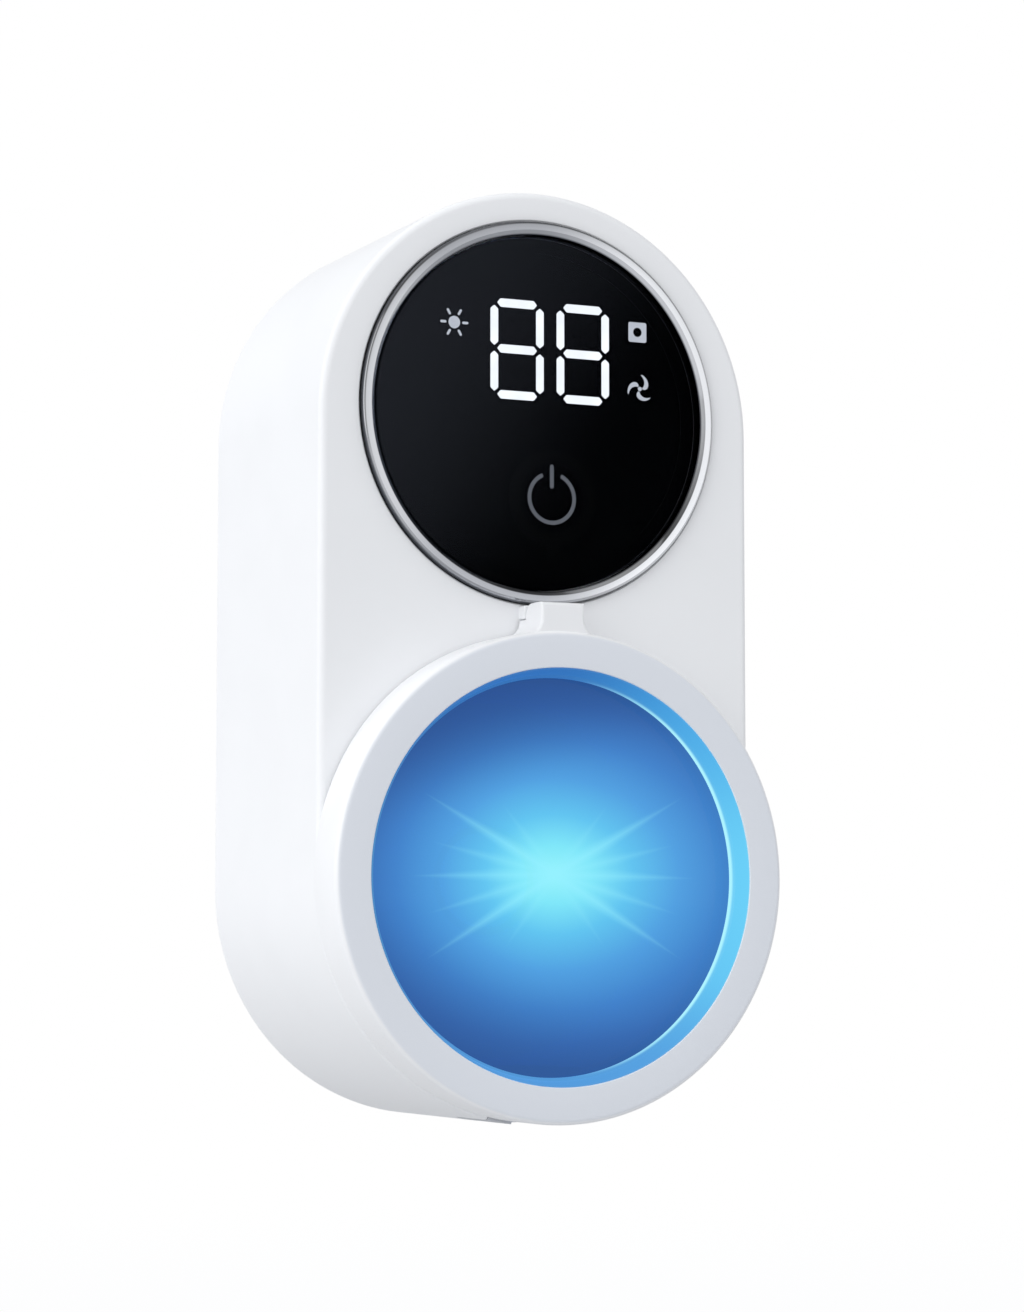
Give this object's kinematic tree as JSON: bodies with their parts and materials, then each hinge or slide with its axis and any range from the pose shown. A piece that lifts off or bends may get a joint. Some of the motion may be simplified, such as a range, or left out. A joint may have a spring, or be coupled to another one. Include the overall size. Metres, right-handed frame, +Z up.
{
  "type": "toothbrush sanitizer",
  "caption": "Wall-mounted pill-shaped toothbrush sanitizer with a round dark display, a round flip-up door with a blue window, and a soft slot that holds the brush neck.",
  "frame": {"origin": "centre of the wall-mounting face, mid-way between the two wall screws, on the wall plane", "axes": "+Z up, +X to the viewer's right, the front faces -Y, the wall is the plane Y = 0"},
  "size_m": [0.0736, 0.055, 0.1424],
  "materials": {
    "pad_foam": "grey adhesive foam",
    "cover_white": "fine matt moulded ABS",
    "housing_white": "satin moulded ABS, very fine texture",
    "steel": "zinc-plated steel",
    "chrome_trim": "mirror-plated ring",
    "display_glass": "smoked, polished display cover",
    "gasket_foam": "black adhesive foam",
    "mask_black": "matt black light mask",
    "segment_white": "diffusing light guide",
    "icon_grey": "diffusing light guide, dimmer",
    "foil_black": "printed conductive foil",
    "pcb_green": "solder mask over glass-fibre board",
    "led_cream": "small packages with a phosphor fill",
    "chip_black": "moulded epoxy",
    "liner_blue": "smooth pale blue UV-resistant plastic",
    "reflector_bright": "vacuum-metallised, fluted",
    "quartz": "clear fused quartz",
    "aluminium": "bare aluminium",
    "pcb_white": "white solder mask on an aluminium-core board",
    "led_gold": "ceramic packages with gold pads",
    "silicone_grey": "matt silicone",
    "magnet_nickel": "nickel-plated",
    "heater_frame_plastic": "glass-filled nylon",
    "ptc_dark": "ceramic element in a dark sleeve",
    "fan_black": "moulded nylon",
    "bronze": "sintered bronze",
    "copper": "enamelled copper windings",
    "probe_red": "epoxy-dipped bead",
    "component_grey": "coils and capacitor cans",
    "connector_ivory": "moulded nylon",
    "battery_wrap": "printed-free film wrap",
    "wire_red": "silicone insulation",
    "wire_blue": "silicone insulation",
    "wire_orange": "silicone insulation",
    "wire_yellow": "silicone insulation",
    "ribbon_white": "flat flexible cable",
    "door_white": "smooth satin ABS with a softly rounded edge",
    "glow_blue": "blue light-guide ring, frosted",
    "window_blue": "clear blue-tinted polycarbonate",
    "silicone_clear": "matt translucent silicone"
  },
  "bodies": {
    "wall_bracket": {"wall_plate": "cover_white", "adhesive_pad": "pad_foam"},
    "sanitizer_unit": {"front_shell": "housing_white", "rear_cover": "cover_white", "rear_cover_screws": "steel", "bezel_ring": "chrome_trim", "display_lens": "display_glass", "lens_gasket": "gasket_foam", "segment_mask": "mask_black", "digit_segments": "segment_white", "indicator_icons": "icon_grey", "power_symbol": "icon_grey", "touch_electrode": "foil_black", "display_board": "pcb_green", "display_leds": "led_cream", "display_driver": "chip_black", "display_board_screws": "steel", "chamber_liner": "liner_blue", "uv_reflector": "reflector_bright", "quartz_lens": "quartz", "lens_retainer": "aluminium", "uv_led_board": "pcb_white", "uv_led_chips": "led_gold", "neck_grommet": "silicone_grey", "housing_magnets": "magnet_nickel", "door_sensor": "chip_black", "heater_frame": "heater_frame_plastic", "heater_fins": "aluminium", "heater_elements": "ptc_dark", "fan_frame": "fan_black", "fan_bearing": "bronze", "fan_stator": "copper", "temperature_probe": "probe_red", "main_board": "pcb_green", "main_board_screws": "steel", "controller_chips": "chip_black", "power_components": "component_grey", "buzzer": "fan_black", "board_connectors": "connector_ivory", "usb_socket": "steel", "port_cover_pin": "steel", "battery_tray": "cover_white", "battery_cell": "battery_wrap", "battery_leads": "wire_red", "led_leads": "wire_blue", "heater_leads": "wire_orange", "fan_leads": "wire_yellow", "ribbon_cable": "ribbon_white"},
    "window_door": {"door_ring": "door_white", "glow_ring": "glow_blue", "door_window": "window_blue", "window_retainer": "door_white", "door_seal": "silicone_clear", "door_magnets": "magnet_nickel", "hinge_pin": "steel"},
    "port_flap": {"port_cover": "housing_white"},
    "fan_wheel": {"fan_rotor": "fan_black", "fan_shaft": "steel"}
  },
  "joints": [
    {"name": "unit_lift", "type": "slide", "parent": "wall_bracket", "child": "sanitizer_unit", "axis": [0, 0, 1], "range_m": [0, 0.01]},
    {"name": "door_hinge", "type": "hinge", "parent": "sanitizer_unit", "child": "window_door", "pos_m": [0, -0.0508, 0.005], "axis": [-1, 0, 0], "range_deg": [0, 100]},
    {"name": "port_cover_hinge", "type": "hinge", "parent": "sanitizer_unit", "child": "port_flap", "pos_m": [0.03495, -0.02325, 0.0214], "axis": [0, 1, 0], "range_deg": [0, 105]},
    {"name": "fan_spin", "type": "hinge", "parent": "sanitizer_unit", "child": "fan_wheel", "pos_m": [0, -0.0115, -0.05], "axis": [0, -1, 0], "continuous": true}
  ]
}
